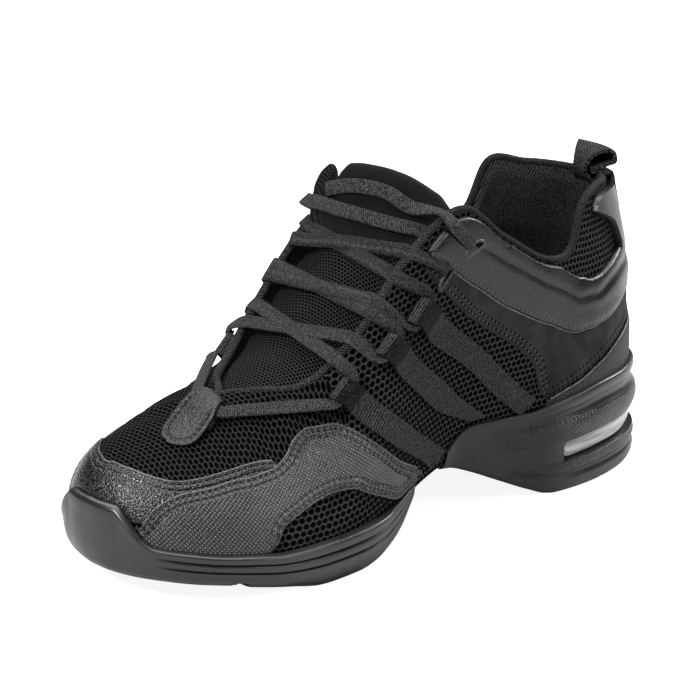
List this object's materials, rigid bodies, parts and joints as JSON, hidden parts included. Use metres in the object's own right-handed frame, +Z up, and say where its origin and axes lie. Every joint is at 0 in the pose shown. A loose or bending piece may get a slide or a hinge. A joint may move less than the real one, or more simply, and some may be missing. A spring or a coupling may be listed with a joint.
{
  "type": "jazz shoe",
  "caption": "Low black dance sneaker with a split sole: mesh and leather upper, webbing lace loops, padded collar, forefoot pad and ribbed heel with a clear window.",
  "frame": {"origin": "centre of the bounding box at floor level, under the shoe", "axes": "+X towards the toe, +Y towards the outer (lateral) side, +Z up"},
  "size_m": [0.264, 0.0934, 0.1369],
  "materials": {
    "spacer_mesh": "coarse black spacer mesh with round holes",
    "sole_rubber": "satin black moulded rubber",
    "window_plastic": "clear silvery plastic window in the heel",
    "insole_cloth": "black brushed cloth over foam",
    "tongue_cloth": "fine black mesh and nubuck over foam",
    "toe_leather": "pebbled black leather with a soft gloss",
    "guard_leather": "black leather embossed with a fine dot grid",
    "nubuck": "matt black nubuck",
    "collar_leather": "smooth semi-gloss black leather, padded",
    "counter_trim": "dark grey finely ribbed trim",
    "webbing": "ribbed black webbing",
    "lace_cord": "flat woven black lace"
  },
  "bodies": {
    "root": {"upper": "spacer_mesh", "forefoot_sole": "sole_rubber", "heel_sole": "sole_rubber", "heel_window": "window_plastic", "insole": "insole_cloth", "tongue": "tongue_cloth", "toe_cap": "toe_leather", "mudguard_lateral": "guard_leather", "mudguard_medial": "guard_leather", "quarter_lateral": "nubuck", "quarter_medial": "nubuck", "collar_band": "collar_leather", "heel_counter": "counter_trim", "web_loop_lateral_1": "webbing", "web_loop_lateral_2": "webbing", "web_loop_lateral_3": "webbing", "web_loop_medial_1": "webbing", "web_loop_medial_2": "webbing", "web_loop_medial_3": "webbing", "vamp_loop": "toe_leather", "pull_loop": "webbing", "lace_crossed": "lace_cord", "lace_top_1": "lace_cord", "lace_top_2": "lace_cord"}
  },
  "joints": []
}
